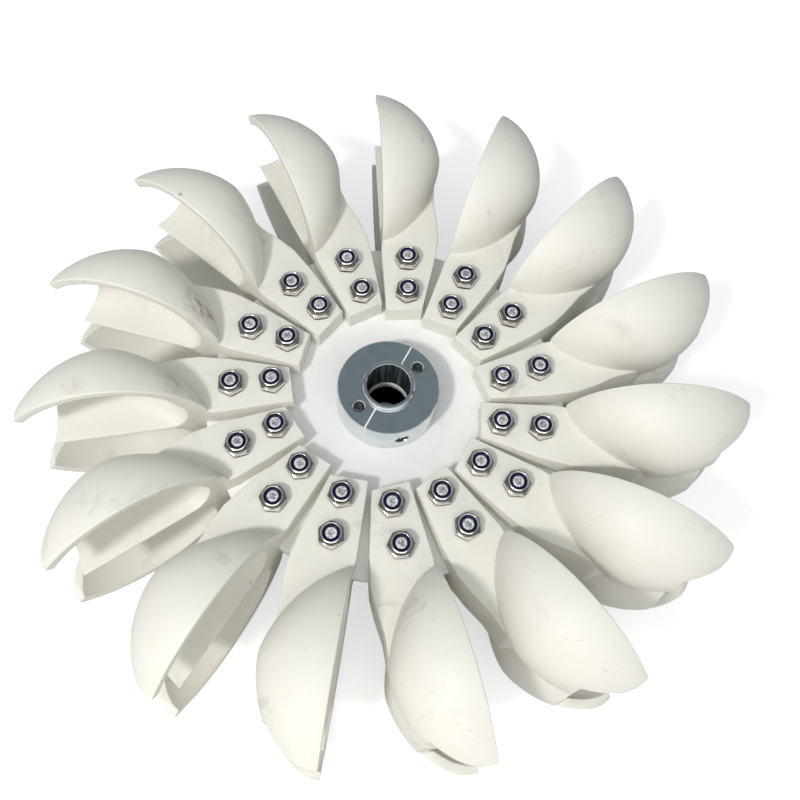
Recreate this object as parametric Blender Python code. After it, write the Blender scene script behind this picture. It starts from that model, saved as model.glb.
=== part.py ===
"""Pelton runner lying flat: fifteen bolted twin-cup buckets on a thin disc with a split clamp hub.

Metres, +Z along the wheel's axis, origin on the axis at mid-thickness of the disc.
Each bucket is shaped once in its own frame: u runs along the rim from root to tip,
d runs from the rim plane into the bowl, z runs across the bucket along the axis.
"""

import math

import bmesh
import bpy
from mathutils import Matrix, Vector

BUCKET_COUNT = 15
FIRST_BUCKET_ANGLE = math.radians(90.0)

DISC_RADIUS = 0.1050
DISC_THICKNESS = 0.0060
DISC_BORE_RADIUS = 0.0127
DISC_SEGMENTS = 120
FIT_GAP = 0.0003
MERGE_DISTANCE = 0.00002
FLAT_ANGLE = 0.0005

# Bucket root: a wedge-shaped shank whose two ears straddle the disc.
EAR_TOP = 0.0170
SHANK_INNER_BACK = (0.0582, -0.0107)
SHANK_INNER_FRONT = (0.0532, 0.0104)
SHANK_BACK_EDGE = ((0.0930, -0.0127), (0.1106, -0.0124), (0.1220, -0.0098), (0.1350, -0.0056), (0.1490, -0.0040))
SHANK_SLOT_RADIUS = DISC_RADIUS + 0.0004

# Bucket bowl: a round rim outline around a splitter, seen square to the rim plane.
RIM_ORIGIN = (0.1028, 0.0220)
RIM_SLOPE = math.radians(13.5)
RIM_CENTRE_U = 0.0530
RIM_RADIUS = 0.0590
WALL = 0.0055
BOWL_DEPTH = 0.0390
BOWL_DEEPEST_U = 0.0500
BOWL_ROOT_REACH = 0.0520
BOWL_TIP_REACH = 0.0500
BOWL_ROOT_POWER = 1.5
BOWL_TIP_POWER = 1.8
LOBE_END_TRIM = 0.0012
LOBE_CREST = 0.46
GROOVE_DEPTH_SHARE = 0.82
CUP_ROOT_U = 0.0088
CUP_ROOT_Z = 0.0170
CUP_ROOT_ROUNDING = 0.0160
CUP_FLOOR_ROUNDING = 0.0300
SPLITTER_HALF_WIDTH = 0.0005

# Notch at the tip: a slanted cut between the two lips, which end square to the round rim.
NOTCH_BASE_U = 0.0860
NOTCH_SLANT = -0.20
NOTCH_HALF_WIDTH = 0.0336
LIP_END_U = 0.0932

# Hub: on each face of the disc, a collar split in two and clamped round a sleeve.
COLLAR_RADIUS = 0.0291
COLLAR_TOP = 0.0250
COLLAR_CHAMFER = 0.0005
COLLAR_BORE_RADIUS = 0.0153
COLLAR_SPLIT_GAP = 0.0010
COLLAR_SPLIT_ANGLE = math.radians(72.5)
COLLAR_SEGMENTS = 72
SLEEVE_RADIUS = 0.0150
SLEEVE_BORE_RADIUS = 0.0125
SLEEVE_END = 0.0278
SLEEVE_CHAMFER = 0.0006
SLEEVE_SEGMENTS = 48

AXIAL_SCREW_ANGLE = math.radians(47.0)
AXIAL_SCREW_RADIUS = 0.0208
CLAMP_SCREW_OFFSET = 0.0205
CLAMP_SCREW_HEIGHT = 0.0140
SCREW_HEAD_RADIUS = 0.00275
SCREW_POCKET_RADIUS = 0.0031
SCREW_POCKET_DEPTH = 0.0040
SCREW_RECESS = 0.0006
SCREW_SEGMENTS = 20

IVORY = (0.86, 0.84, 0.79, 1.0)
WHITE = (0.84, 0.85, 0.86, 1.0)
STEEL = (0.50, 0.53, 0.57, 1.0)
BRIGHT_STEEL = (0.72, 0.73, 0.74, 1.0)
DARK_STEEL = (0.16, 0.16, 0.17, 1.0)


def clear_scene():
    for old in list(bpy.data.objects):
        bpy.data.objects.remove(old, do_unlink=True)


def make_material(name, colour, roughness, metallic):
    material = bpy.data.materials.new(name)
    material.use_nodes = True
    shader = material.node_tree.nodes["Principled BSDF"]
    shader.inputs["Base Color"].default_value = colour
    shader.inputs["Roughness"].default_value = roughness
    shader.inputs["Metallic"].default_value = metallic
    material.diffuse_color = colour
    return material


def add_object(name, mesh):
    piece = bpy.data.objects.new(name, mesh)
    bpy.context.collection.objects.link(piece)
    return piece


def mesh_from(bm, name):
    bmesh.ops.recalc_face_normals(bm, faces=bm.faces)
    mesh = bpy.data.meshes.new(name)
    bm.to_mesh(mesh)
    bm.free()
    return mesh


def finish_shading(mesh, angle):
    mesh.shade_smooth()
    mesh.set_sharp_from_angle(angle=math.radians(angle))


def loft(rings, name):
    """Closed skin through rings of equally many points, with flat end caps."""
    bm = bmesh.new()
    loops = [[bm.verts.new(point) for point in ring] for ring in rings]
    for near, far in zip(loops, loops[1:]):
        count = len(near)
        for i in range(count):
            j = (i + 1) % count
            bm.faces.new((near[i], near[j], far[j], far[i]))
    bm.faces.new(loops[0])
    bm.faces.new(loops[-1])
    return mesh_from(bm, name)


def prism(outline, low, high, name):
    """Solid between two heights over an outline of (x, y) points."""
    return loft([[(x, y, z) for x, y in outline] for z in (low, high)], name)


def circle(radius, segments, centre=(0.0, 0.0)):
    turns = (2.0 * math.pi * i / segments for i in range(segments))
    return [(centre[0] + radius * math.cos(t), centre[1] + radius * math.sin(t)) for t in turns]


def boolean(target, tool, operation):
    step = target.modifiers.new(operation.lower(), "BOOLEAN")
    step.operation = operation
    step.solver = "EXACT"
    step.object = tool


def baked_mesh(piece, name):
    """The piece's mesh with its modifiers worked in."""
    graph = bpy.context.evaluated_depsgraph_get()
    mesh = bpy.data.meshes.new_from_object(piece.evaluated_get(graph))
    mesh.name = name
    return mesh


def carve(name, mesh, steps):
    """Apply union and difference steps, given as (operation, mesh) pairs, and return one mesh."""
    piece = add_object(name + "_blank", mesh)
    tools = []
    for operation, tool_mesh in steps:
        tool = add_object(name + "_tool", tool_mesh)
        tool.hide_render = True
        tool.display_type = "WIRE"
        boolean(piece, tool, operation)
        tools.append(tool)
    bpy.context.view_layer.update()
    result = baked_mesh(piece, name)
    for used in [piece] + tools:
        bpy.data.objects.remove(used, do_unlink=True)
    bm = bmesh.new()
    bm.from_mesh(result)
    bmesh.ops.remove_doubles(bm, verts=bm.verts, dist=MERGE_DISTANCE)
    bmesh.ops.dissolve_degenerate(bm, edges=bm.edges, dist=MERGE_DISTANCE)
    bmesh.ops.dissolve_limit(bm, angle_limit=FLAT_ANGLE, verts=bm.verts, edges=bm.edges)
    bmesh.ops.triangulate(bm, faces=bm.faces)
    bm.to_mesh(result)
    bm.free()
    return result


def bucket_point(u, d, z):
    """Bucket frame to wheel frame, for the bucket whose inner bolt lies on +X."""
    x = RIM_ORIGIN[0] + u * math.cos(RIM_SLOPE) + d * math.sin(RIM_SLOPE)
    y = RIM_ORIGIN[1] + u * math.sin(RIM_SLOPE) - d * math.cos(RIM_SLOPE)
    return (x, y, z)


def blend(first, last, count):
    """Stations from first to last, closer together towards both ends."""
    for i in range(count):
        share = 0.5 - 0.5 * math.cos(math.pi * i / (count - 1))
        yield first + (last - first) * share


def rim_half_width(u, inset):
    reach = RIM_RADIUS - inset
    return math.sqrt(max(reach * reach - (u - RIM_CENTRE_U) ** 2, 0.0))


def bowl_depth(u):
    """Depth of the outer skin below the rim plane, largest near mid-length."""
    reach, power = BOWL_TIP_REACH, BOWL_TIP_POWER
    if u < BOWL_DEEPEST_U:
        reach, power = BOWL_ROOT_REACH, BOWL_ROOT_POWER
    share = min(abs(u - BOWL_DEEPEST_U) / reach, 1.0)
    return BOWL_DEPTH * (1.0 - share ** power) ** (1.0 / power)


def lobe_profile(share):
    """Relative depth across one lobe, from the groove at 0 to the rim at 1."""
    if share > LOBE_CREST:
        run = (share - LOBE_CREST) / (1.0 - LOBE_CREST)
        return math.sqrt(max(1.0 - run * run, 0.0))
    run = (LOBE_CREST - share) / LOBE_CREST
    return 1.0 - (1.0 - GROOVE_DEPTH_SHARE) * run * run


def lobes_mesh():
    """Both bulging lobes as one solid, closed flat across the rim plane."""
    across = 14
    rings = []
    first = BOWL_DEEPEST_U - BOWL_ROOT_REACH + LOBE_END_TRIM
    last = BOWL_DEEPEST_U + BOWL_TIP_REACH - LOBE_END_TRIM
    for u in blend(first, last, 12):
        width = rim_half_width(u, 0.0)
        depth = bowl_depth(u)
        ring = []
        for i in range(across + 1):
            turn = math.pi * i / across
            share = -math.cos(turn)
            ring.append(bucket_point(u, depth * lobe_profile(abs(share)), width * share))
        rings.append(ring)
    return loft(rings, "bucket_lobes")


def shank_mesh():
    """The wedge-shaped root and the rib that carries it on between the lobes."""
    front = [bucket_point(-0.0070, -0.0010, 0.0), bucket_point(0.0050, 0.0006, 0.0)]
    inside = [bucket_point(0.0450, 0.0120, 0.0), bucket_point(0.0620, 0.0240, 0.0)]
    outline = [SHANK_INNER_BACK, SHANK_INNER_FRONT]
    outline += [(x, y) for x, y, _ in front + inside]
    outline += reversed(SHANK_BACK_EDGE)
    return prism(outline, -EAR_TOP, EAR_TOP, "bucket_shank")


def rounded(u, start, length):
    """Quarter-round rise from 0 at start to 1 after length."""
    left = 1.0 - min(max((u - start) / length, 0.0), 1.0)
    return math.sqrt(max(1.0 - left * left, 0.0))


def cup_mesh(side):
    """One hollow, upper or lower by the sign of side, reaching past the rim plane."""
    across = 8
    rings = []
    for u in blend(CUP_ROOT_U + 0.0004, 0.1040, 9):
        opening = rounded(u, CUP_ROOT_U, CUP_ROOT_ROUNDING)
        outer = CUP_ROOT_Z + (rim_half_width(u, WALL) - CUP_ROOT_Z) * opening
        inner = CUP_ROOT_Z + (SPLITTER_HALF_WIDTH - CUP_ROOT_Z) * opening
        depth = max(bowl_depth(u) - WALL, 0.0004) * rounded(u, CUP_ROOT_U, CUP_FLOOR_ROUNDING)
        ring = []
        for i in range(across + 1):
            turn = math.pi * i / across
            z = 0.5 * (inner + outer) - 0.5 * (outer - inner) * math.cos(turn)
            ring.append(bucket_point(u, depth * math.sin(turn) ** 0.9, side * z))
        ring.append(bucket_point(u, -0.0030, side * outer))
        ring.append(bucket_point(u, -0.0030, side * inner))
        rings.append(ring)
    return loft(rings, "bucket_cup")


def notch_mesh():
    """Slanted block that cuts the gap between the lips, opening out past their square ends."""
    beyond = 0.1300
    spread = (beyond - RIM_CENTRE_U) / (LIP_END_U - RIM_CENTRE_U)
    rings = []
    for depth in (-0.0050, 0.0450):
        base = NOTCH_BASE_U + NOTCH_SLANT * depth
        half = ((base, NOTCH_HALF_WIDTH), (LIP_END_U, NOTCH_HALF_WIDTH), (beyond, NOTCH_HALF_WIDTH * spread))
        outline = [(u, -z) for u, z in half] + [(u, z) for u, z in reversed(half)]
        rings.append([bucket_point(u, depth, z) for u, z in outline])
    return loft(rings, "bucket_notch")


def disc_slot_mesh():
    half = 0.5 * DISC_THICKNESS + FIT_GAP
    return prism(circle(SHANK_SLOT_RADIUS, DISC_SEGMENTS), -half, half, "bucket_slot")


def bucket_mesh():
    steps = [
        ("UNION", shank_mesh()),
        ("DIFFERENCE", cup_mesh(1.0)),
        ("DIFFERENCE", cup_mesh(-1.0)),
        ("DIFFERENCE", notch_mesh()),
        ("DIFFERENCE", disc_slot_mesh()),
    ]
    mesh = carve("bucket", lobes_mesh(), steps)
    finish_shading(mesh, 32)
    return mesh


def build_buckets(material):
    mesh = bucket_mesh()
    mesh.materials.append(material)
    for i in range(BUCKET_COUNT):
        bucket = add_object("bucket_%02d" % (i + 1), mesh)
        bucket.rotation_euler.z = FIRST_BUCKET_ANGLE - 2.0 * math.pi * i / BUCKET_COUNT


def turned_mesh(section, segments, name):
    """Ring turned from a closed section of (radius, height) points."""
    bm = bmesh.new()
    hoops = [[bm.verts.new((x, y, z)) for x, y in circle(radius, segments)] for radius, z in section]
    for k, near in enumerate(hoops):
        far = hoops[(k + 1) % len(hoops)]
        for i in range(segments):
            j = (i + 1) % segments
            bm.faces.new((near[i], near[j], far[j], far[i]))
    return mesh_from(bm, name)


def build_disc(material):
    half = 0.5 * DISC_THICKNESS
    section = ((DISC_BORE_RADIUS, -half), (DISC_RADIUS, -half), (DISC_RADIUS, half), (DISC_BORE_RADIUS, half))
    mesh = turned_mesh(section, DISC_SEGMENTS, "disc")
    finish_shading(mesh, 30)
    mesh.materials.append(material)
    add_object("disc", mesh)


def build_sleeves(material):
    """One sleeve on each face of the disc, standing a little proud of the collar round it."""
    seat = 0.5 * DISC_THICKNESS + FIT_GAP
    for face, face_name in ((1, "front"), (-1, "back")):
        section = (
            (SLEEVE_BORE_RADIUS, face * seat),
            (SLEEVE_RADIUS, face * seat),
            (SLEEVE_RADIUS, face * (SLEEVE_END - SLEEVE_CHAMFER)),
            (SLEEVE_RADIUS - SLEEVE_CHAMFER, face * SLEEVE_END),
            (SLEEVE_BORE_RADIUS, face * SLEEVE_END),
        )
        mesh = turned_mesh(section, SLEEVE_SEGMENTS, "sleeve")
        finish_shading(mesh, 30)
        mesh.materials.append(material)
        add_object("bore_sleeve_%s" % face_name, mesh)


def axial_screw_place(end):
    angle = AXIAL_SCREW_ANGLE + math.pi * end
    return AXIAL_SCREW_RADIUS * math.cos(angle), AXIAL_SCREW_RADIUS * math.sin(angle)


def clamp_screw_matrix(end, face):
    """Frame at a clamp screw's pocket floor, +Z pointing out along the screw."""
    along = COLLAR_SPLIT_ANGLE - 0.5 * math.pi + math.pi * end
    across = Vector((math.cos(along), math.sin(along), 0.0))
    beside = Vector((math.sin(along), -math.cos(along), 0.0))
    surface = math.sqrt(COLLAR_RADIUS ** 2 - CLAMP_SCREW_OFFSET ** 2)
    floor = surface - SCREW_POCKET_DEPTH
    place = across * floor + beside * CLAMP_SCREW_OFFSET
    place.z = face * CLAMP_SCREW_HEIGHT
    return Matrix.Translation(place) @ across.to_track_quat("Z", "Y").to_matrix().to_4x4()


def moved(mesh, matrix):
    mesh.transform(matrix)
    return mesh


def collar_half_mesh(face, end):
    """Half a collar on one face of the disc, with its screw pockets."""
    seat = 0.5 * DISC_THICKNESS + FIT_GAP
    section = (
        (COLLAR_BORE_RADIUS, face * seat),
        (COLLAR_RADIUS, face * seat),
        (COLLAR_RADIUS, face * (COLLAR_TOP - COLLAR_CHAMFER)),
        (COLLAR_RADIUS - COLLAR_CHAMFER, face * COLLAR_TOP),
        (COLLAR_BORE_RADIUS, face * COLLAR_TOP),
    )
    half_turn = COLLAR_SPLIT_ANGLE - math.pi + math.pi * end
    steps = COLLAR_SEGMENTS // 2
    rings = []
    for i in range(steps + 1):
        ring = []
        for radius, z in section:
            trim = math.asin(0.5 * COLLAR_SPLIT_GAP / radius)
            angle = half_turn + trim + (math.pi - 2.0 * trim) * i / steps
            ring.append((radius * math.cos(angle), radius * math.sin(angle), z))
        rings.append(ring)
    blank = loft(rings, "collar_blank")
    pocket = circle(SCREW_POCKET_RADIUS, SCREW_SEGMENTS, axial_screw_place(end))
    top, floor = face * (COLLAR_TOP + 0.002), face * (COLLAR_TOP - SCREW_POCKET_DEPTH)
    steps = [("DIFFERENCE", prism(pocket, min(top, floor), max(top, floor), "axial_pocket"))]
    bore = prism(circle(SCREW_POCKET_RADIUS, SCREW_SEGMENTS), 0.0, 0.0200, "clamp_pocket")
    steps.append(("DIFFERENCE", moved(bore, clamp_screw_matrix(end, face))))
    mesh = carve("collar", blank, steps)
    finish_shading(mesh, 30)
    return mesh


def build_collars(material):
    for face, face_name in ((1, "front"), (-1, "back")):
        for end, end_name in ((0, "a"), (1, "b")):
            mesh = collar_half_mesh(face, end)
            mesh.materials.append(material)
            add_object("hub_collar_%s_%s" % (face_name, end_name), mesh)


def build_screws(material):
    low, high = FIT_GAP, SCREW_POCKET_DEPTH - SCREW_RECESS
    for face, face_name in ((1, "front"), (-1, "back")):
        for end in (0, 1):
            x, y = axial_screw_place(end)
            a, b = (COLLAR_TOP - SCREW_POCKET_DEPTH + low), (COLLAR_TOP - SCREW_RECESS)
            zs = sorted((face * a, face * b))
            head = prism(circle(SCREW_HEAD_RADIUS, SCREW_SEGMENTS, (x, y)), zs[0], zs[1], "axial_screw")
            clamp = prism(circle(SCREW_HEAD_RADIUS, SCREW_SEGMENTS), low, high, "clamp_screw")
            clamp = moved(clamp, clamp_screw_matrix(end, face))
            for mesh, kind in ((head, "axial"), (clamp, "clamp")):
                finish_shading(mesh, 30)
                mesh.materials.append(material)
                add_object("hub_%s_screw_%s_%d" % (kind, face_name, end + 1), mesh)


def build():
    clear_scene()
    build_disc(make_material("disc white", WHITE, 0.45, 0.0))
    build_buckets(make_material("bucket ivory", IVORY, 0.38, 0.0))
    build_collars(make_material("collar steel", STEEL, 0.30, 1.0))
    build_sleeves(make_material("sleeve steel", BRIGHT_STEEL, 0.22, 1.0))
    build_screws(make_material("screw steel", DARK_STEEL, 0.35, 1.0))


build()
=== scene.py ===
"""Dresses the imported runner: moulded buckets, disc, clamp hub, bolts and lock nuts, floor and lights."""

from math import atan2, cos, pi, radians, sin, sqrt

import bmesh
import bpy
from bpy.props import FloatProperty, FloatVectorProperty, PointerProperty
from mathutils import Matrix, Vector, kdtree


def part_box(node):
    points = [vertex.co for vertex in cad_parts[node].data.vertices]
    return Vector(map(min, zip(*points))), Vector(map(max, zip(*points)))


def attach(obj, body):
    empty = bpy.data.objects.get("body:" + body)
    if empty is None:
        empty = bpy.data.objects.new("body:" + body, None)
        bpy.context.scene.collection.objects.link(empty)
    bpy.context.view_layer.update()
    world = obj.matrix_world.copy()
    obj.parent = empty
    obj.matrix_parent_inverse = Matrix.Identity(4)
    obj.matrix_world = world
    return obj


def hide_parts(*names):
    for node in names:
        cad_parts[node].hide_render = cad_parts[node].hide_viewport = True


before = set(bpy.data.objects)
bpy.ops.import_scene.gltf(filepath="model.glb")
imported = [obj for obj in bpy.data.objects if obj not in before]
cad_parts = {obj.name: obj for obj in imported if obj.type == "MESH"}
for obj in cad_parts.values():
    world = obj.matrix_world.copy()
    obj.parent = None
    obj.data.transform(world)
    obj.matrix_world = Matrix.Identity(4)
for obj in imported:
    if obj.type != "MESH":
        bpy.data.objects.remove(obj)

bl_info = {
    "name": "Pelton Runner Dresser",
    "version": (1, 0, 0),
    "blender": (4, 5, 0),
    "location": "View3D > Sidebar > Runner",
    "description": "Models the finished buckets, disc, hub and fasteners of a small impulse runner",
    "category": "Add Mesh",
}

BUCKETS = sorted(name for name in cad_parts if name.startswith("bucket_"))
BUCKET_STEP = 360.0 / len(BUCKETS)
DISC_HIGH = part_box("disc")[1]
COLLAR_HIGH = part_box("hub_collar_front_a")[1]
SLEEVE_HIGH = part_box("bore_sleeve_front")[1]

# Bolt places: heights from the disc's middle, circles round the axis
EAR_TOP = 0.0170
INNER_BOLT_CIRCLE = 0.0671
OUTER_BOLT_CIRCLE = 0.0900
OUTER_BOLT_LEAD = radians(2.57)

# Bucket rim, on the bucket whose inner bolt lies on +X; u runs along the rim, in metres
RIM_ORIGIN = Vector((0.1028, 0.0220, 0.0))
RIM_SLOPE = radians(13.5)
RIM_CENTRE = 0.0530
RIM_RADIUS = 0.0590
RIM_START, RIM_END = -0.0019, 0.1015
BOWL_DEEPEST = 0.0500
CUP_ROOT = 0.0088
CUP_ROOT_SIDE = 0.0205
CUP_ROOT_ROUND = 0.0120
CUP_ROOT_SLOPE = 0.0300
CUP_END = 0.1040
LIP_START = 0.0850
RIM_PLACE = (
    Matrix.Translation(RIM_ORIGIN) @ Matrix.Rotation(RIM_SLOPE, 4, "Z") @ Matrix.Rotation(-0.5 * pi, 4, "X"))
RIM_INVERSE = RIM_PLACE.inverted()
RIM_ALONG = RIM_PLACE.to_3x3() @ Vector((1.0, 0.0, 0.0))
RIM_INTO = RIM_PLACE.to_3x3() @ Vector((0.0, 0.0, -1.0))

# Shares of the edge rounding: the thin splitter, the lips and beside the splitter, the rest of the rim
THIN_SHARE, LIP_SHARE, RIM_SHARE = 0.35, 0.6, 1.0

# Points closer than this are taken as one, in metres
TOUCHING = 0.00002

# Notch between the two lips
NOTCH_BASE = 0.0860
NOTCH_SLANT = -0.20
NOTCH_HALF = 0.0336
LIP_END = 0.0950
LIP_CORNER = 0.0032

# Hub
SPLIT_ANGLE = radians(72.5)
SPLIT_ALONG = Vector((cos(SPLIT_ANGLE), sin(SPLIT_ANGLE), 0.0))
SPLIT_BESIDE = Vector((sin(SPLIT_ANGLE), -cos(SPLIT_ANGLE), 0.0))
SPLIT_GAP = 0.00003
SPLIT_CHAMFER = 0.0006
SCREW_RING = 0.0208
SCREW_LEAD = radians(47.0)
POCKET_RADIUS = 0.0031
POCKET_DEPTH = 0.0040
SCREW_LIFT = 0.0003
CLAMP_OFFSET = 0.0205
CLAMP_HEIGHT = 0.0140
COLLAR_RADIUS = 0.0291
COLLAR_BORE = 0.0150
BORE_RADIUS = 0.0125
FINE_EDGE = 0.0004

# Lock nuts
NUT_WIDTH = 0.0136
NUT_HEIGHT = 0.0080
NUT_CHAMFER = 0.58
NUT_FACE = 0.97
HEXAGON_HIGH = 0.0052

# Scuffs and nicks of the buckets: centre, reach, strength, colour
WORN_PLACES = (
    ((-0.1170, 0.0225, 0.0370), 0.0150, 0.80, (0.36, 0.27, 0.17)),
    ((-0.1090, 0.0225, 0.0270), 0.0090, 0.85, (0.24, 0.17, 0.11)),
    ((-0.1660, -0.0477, 0.0567), 0.0028, 0.95, (0.11, 0.085, 0.06)),
    ((-0.1600, -0.0470, 0.0567), 0.0080, 0.35, (0.38, 0.30, 0.21)),
    ((-0.1157, -0.0282, 0.0415), 0.0130, 0.55, (0.40, 0.32, 0.23)),
    ((-0.1400, 0.0815, 0.0588), 0.0022, 0.95, (0.09, 0.07, 0.05)),
)


def measure(name, default, low, high, description):
    """Size property in metres."""
    return FloatProperty(name=name, description=description, default=default, min=low, max=high, unit="LENGTH")


def finish_colour(name, default, description):
    """Colour property of a finish."""
    return FloatVectorProperty(
        name=name, description=description, default=default, subtype="COLOR", min=0.0, max=1.0)


class RunnerSizes(bpy.types.PropertyGroup):
    """Sizes that shape the finished pieces."""

    bowl_depth: measure("Bowl depth", 0.0390, 0.030, 0.041, "Depth of a bucket's outer skin below its rim")
    wall: measure("Wall", 0.0060, 0.002, 0.008, "Thickness of a bucket's wall at the rim")
    splitter: measure("Splitter", 0.0005, 0.0002, 0.002, "Half the thickness of the ridge between two cups")
    crease: measure("Crease width", 0.0030, 0.0005, 0.006, "Reach of the soft blend between root and lobes")
    edge: measure("Edge rounding", 0.0005, 0.0001, 0.001, "Rounding along the moulded edges")
    nut_width: measure("Nut across flats", NUT_WIDTH, 0.010, 0.015, "Width of nuts and bolt heads across two flats")
    nut_height: measure("Nut height", NUT_HEIGHT, 0.006, 0.010, "Height of a lock nut with its collar")
    head_height: measure("Bolt head height", 0.0053, 0.004, 0.007, "Height of a bolt's hexagon head")
    collar_edge: measure("Collar edge", 0.0005, 0.0003, 0.002, "Chamfer round the outer edge of the hub collar")


class RunnerColours(bpy.types.PropertyGroup):
    """Colours of the finishes."""

    ivory: finish_colour("Bucket ivory", (0.82, 0.80, 0.735), "Moulded plastic of the buckets")
    white: finish_colour("Disc white", (0.87, 0.88, 0.86), "Plastic of the disc")
    steel: finish_colour("Collar steel", (0.74, 0.77, 0.80), "Turned steel of the hub")
    nut_steel: finish_colour("Nut steel", (0.82, 0.81, 0.79), "Bright steel of nuts and bolts")
    lock_ring: finish_colour("Lock ring", (0.007, 0.006, 0.032), "Blue-black ring inside each lock nut")


# Small helpers over Blender's own operators


def start_fresh():
    """Object mode with nothing selected."""
    if bpy.context.object and bpy.context.object.mode != "OBJECT":
        bpy.ops.object.mode_set(mode="OBJECT")
    bpy.ops.object.select_all(action="DESELECT")


def focus(piece):
    start_fresh()
    piece.select_set(True)
    bpy.context.view_layer.objects.active = piece


def name_active(name):
    """Name the new piece and move its mesh to where the piece stands."""
    bpy.ops.object.transform_apply(location=True, rotation=True, scale=True)
    piece = bpy.context.object
    piece.name = name
    piece.data.name = name
    return piece


def edit(piece, choose="DESELECT"):
    """Edit mode on one piece, with nothing or everything selected."""
    focus(piece)
    bpy.ops.object.mode_set(mode="EDIT")
    bpy.ops.mesh.select_mode(type="VERT")
    bpy.ops.mesh.select_all(action=choose)


def done():
    bpy.ops.object.mode_set(mode="OBJECT")


def select_whole():
    bpy.ops.mesh.select_all(action="SELECT")


def face_outwards():
    select_whole()
    bpy.ops.mesh.normals_make_consistent(inside=False)


def extrude(shift):
    bpy.ops.mesh.extrude_region_move(TRANSFORM_OT_translate={"value": shift})


def bevel(width, segments, clamp=False):
    """Bevel the selected edges."""
    bpy.ops.mesh.bevel(offset=width, segments=segments, affect="EDGES", clamp_overlap=clamp)


def raise_solid(piece, shift):
    """Fill an outline and extrude it along Z, staying in edit mode."""
    edit(piece, choose="SELECT")
    bpy.ops.mesh.edge_face_add()
    extrude((0.0, 0.0, shift))
    face_outwards()


def cylinder(name, sides, radius, depth, place=(0.0, 0.0, 0.0)):
    """Upright cylinder about its middle."""
    start_fresh()
    bpy.ops.mesh.primitive_cylinder_add(vertices=sides, radius=radius, depth=depth, location=place)
    return name_active(name)


def pick(piece, kind, test):
    """Select just the verts, edges or faces that pass the test, and say how many there are."""
    bpy.ops.mesh.select_mode(type={"verts": "VERT", "edges": "EDGE", "faces": "FACE"}[kind])
    bpy.ops.mesh.select_all(action="DESELECT")
    bm = bmesh.from_edit_mesh(piece.data)
    bm.normal_update()
    count = 0
    for item in getattr(bm, kind):
        if test(item):
            item.select_set(True)
            count += 1
    bmesh.update_edit_mesh(piece.data)
    return count


def apply_step(piece, kind, **settings):
    """Add a modifier with these settings and apply it."""
    focus(piece)
    step = piece.modifiers.new(kind.title(), kind)
    for key, value in settings.items():
        setattr(step, key, value)
    bpy.ops.object.modifier_apply(modifier=step.name)


def join_shape(piece, tool, operation):
    """Work a second shape into the piece and drop it."""
    apply_step(piece, "BOOLEAN", operation=operation, solver="EXACT", object=tool)
    drop(tool)


def drop(piece):
    bpy.data.objects.remove(piece, do_unlink=True)


def place_mesh(piece, matrix):
    """Move the mesh itself, so that its object stays at the origin."""
    piece.data.transform(matrix)
    piece.data.update()


def mesh_copy(piece, name, matrix):
    """A copy with its own mesh, placed in its mesh."""
    twin = piece.copy()
    twin.data = piece.data.copy()
    twin.name = name
    twin.data.name = name
    bpy.context.collection.objects.link(twin)
    place_mesh(twin, matrix)
    return twin


def remember_place(piece):
    """Keep each point's own place, so that a finish follows a part that is turned and copied."""
    own = piece.data.attributes.new("own_place", "FLOAT_VECTOR", "POINT")
    own.data.foreach_set("vector", [value for vert in piece.data.vertices for value in vert.co])


def finish_piece(piece, angle, material, node_name=None):
    """Shading, finish, and the piece's place in the frame."""
    focus(piece)
    bpy.ops.object.transform_apply(location=True, rotation=True, scale=True)
    bpy.ops.object.shade_smooth_by_angle(angle=radians(angle))
    piece.data.materials.clear()
    piece.data.materials.append(material)
    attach(piece, "root")
    if node_name:
        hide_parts(node_name)


def draw_outline(name, knots, steps):
    """Closed mesh outline in the YZ plane from Bezier knots, each (left handle, point, right handle)."""
    start_fresh()
    bpy.ops.curve.primitive_bezier_circle_add(radius=1.0)
    outline = name_active(name)
    outline.data.resolution_u = steps
    spline = outline.data.splines[0]
    spline.bezier_points.add(len(knots) - len(spline.bezier_points))
    for point, (left, middle, right) in zip(spline.bezier_points, knots):
        point.handle_left_type = point.handle_right_type = "FREE"
        point.handle_left = (0.0, *left)
        point.co = (0.0, *middle)
        point.handle_right = (0.0, *right)
    focus(outline)
    bpy.ops.object.convert(target="MESH")
    return bpy.context.object


def polygon_outline(name, corners):
    """Straight-sided mesh outline through (x, y, z) corners."""
    start_fresh()
    bpy.ops.mesh.primitive_circle_add(vertices=len(corners), radius=1.0, fill_type="NOTHING")
    outline = name_active(name)
    for vert, corner in zip(outline.data.vertices, corners):
        vert.co = corner
    return outline


def turned_piece(name, section, steps):
    """Solid of revolution about Z from a closed section of (radius, height) corners."""
    piece = polygon_outline(name, [(radius, 0.0, z) for radius, z in section])
    edit(piece, choose="SELECT")
    bpy.ops.mesh.spin(steps=steps, angle=2.0 * pi, center=(0, 0, 0), axis=(0, 0, 1))
    select_whole()
    bpy.ops.mesh.remove_doubles(threshold=1e-6)
    bpy.ops.mesh.delete_loose(use_verts=True, use_edges=True, use_faces=False)
    face_outwards()
    done()
    return piece


# Buckets


def rim_half_width(u, inset=0.0):
    reach = RIM_RADIUS - inset
    return sqrt(max(reach * reach - (u - RIM_CENTRE) ** 2, 1e-10))


def bowl_depth(u, deepest):
    """Depth of the outer skin below the rim plane, u metres along the rim."""
    reach, power = (0.0520, 1.5) if u < BOWL_DEEPEST else (0.0525, 1.8)
    share = min(abs(u - BOWL_DEEPEST) / reach, 1.0)
    return deepest * (1.0 - share ** power) ** (1.0 / power)


def eased(u, start, length):
    """Quarter-round rise from 0 at start to 1 after length."""
    left = 1.0 - min(max((u - start) / length, 0.0), 1.0)
    return sqrt(max(1.0 - left * left, 0.0))


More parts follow.
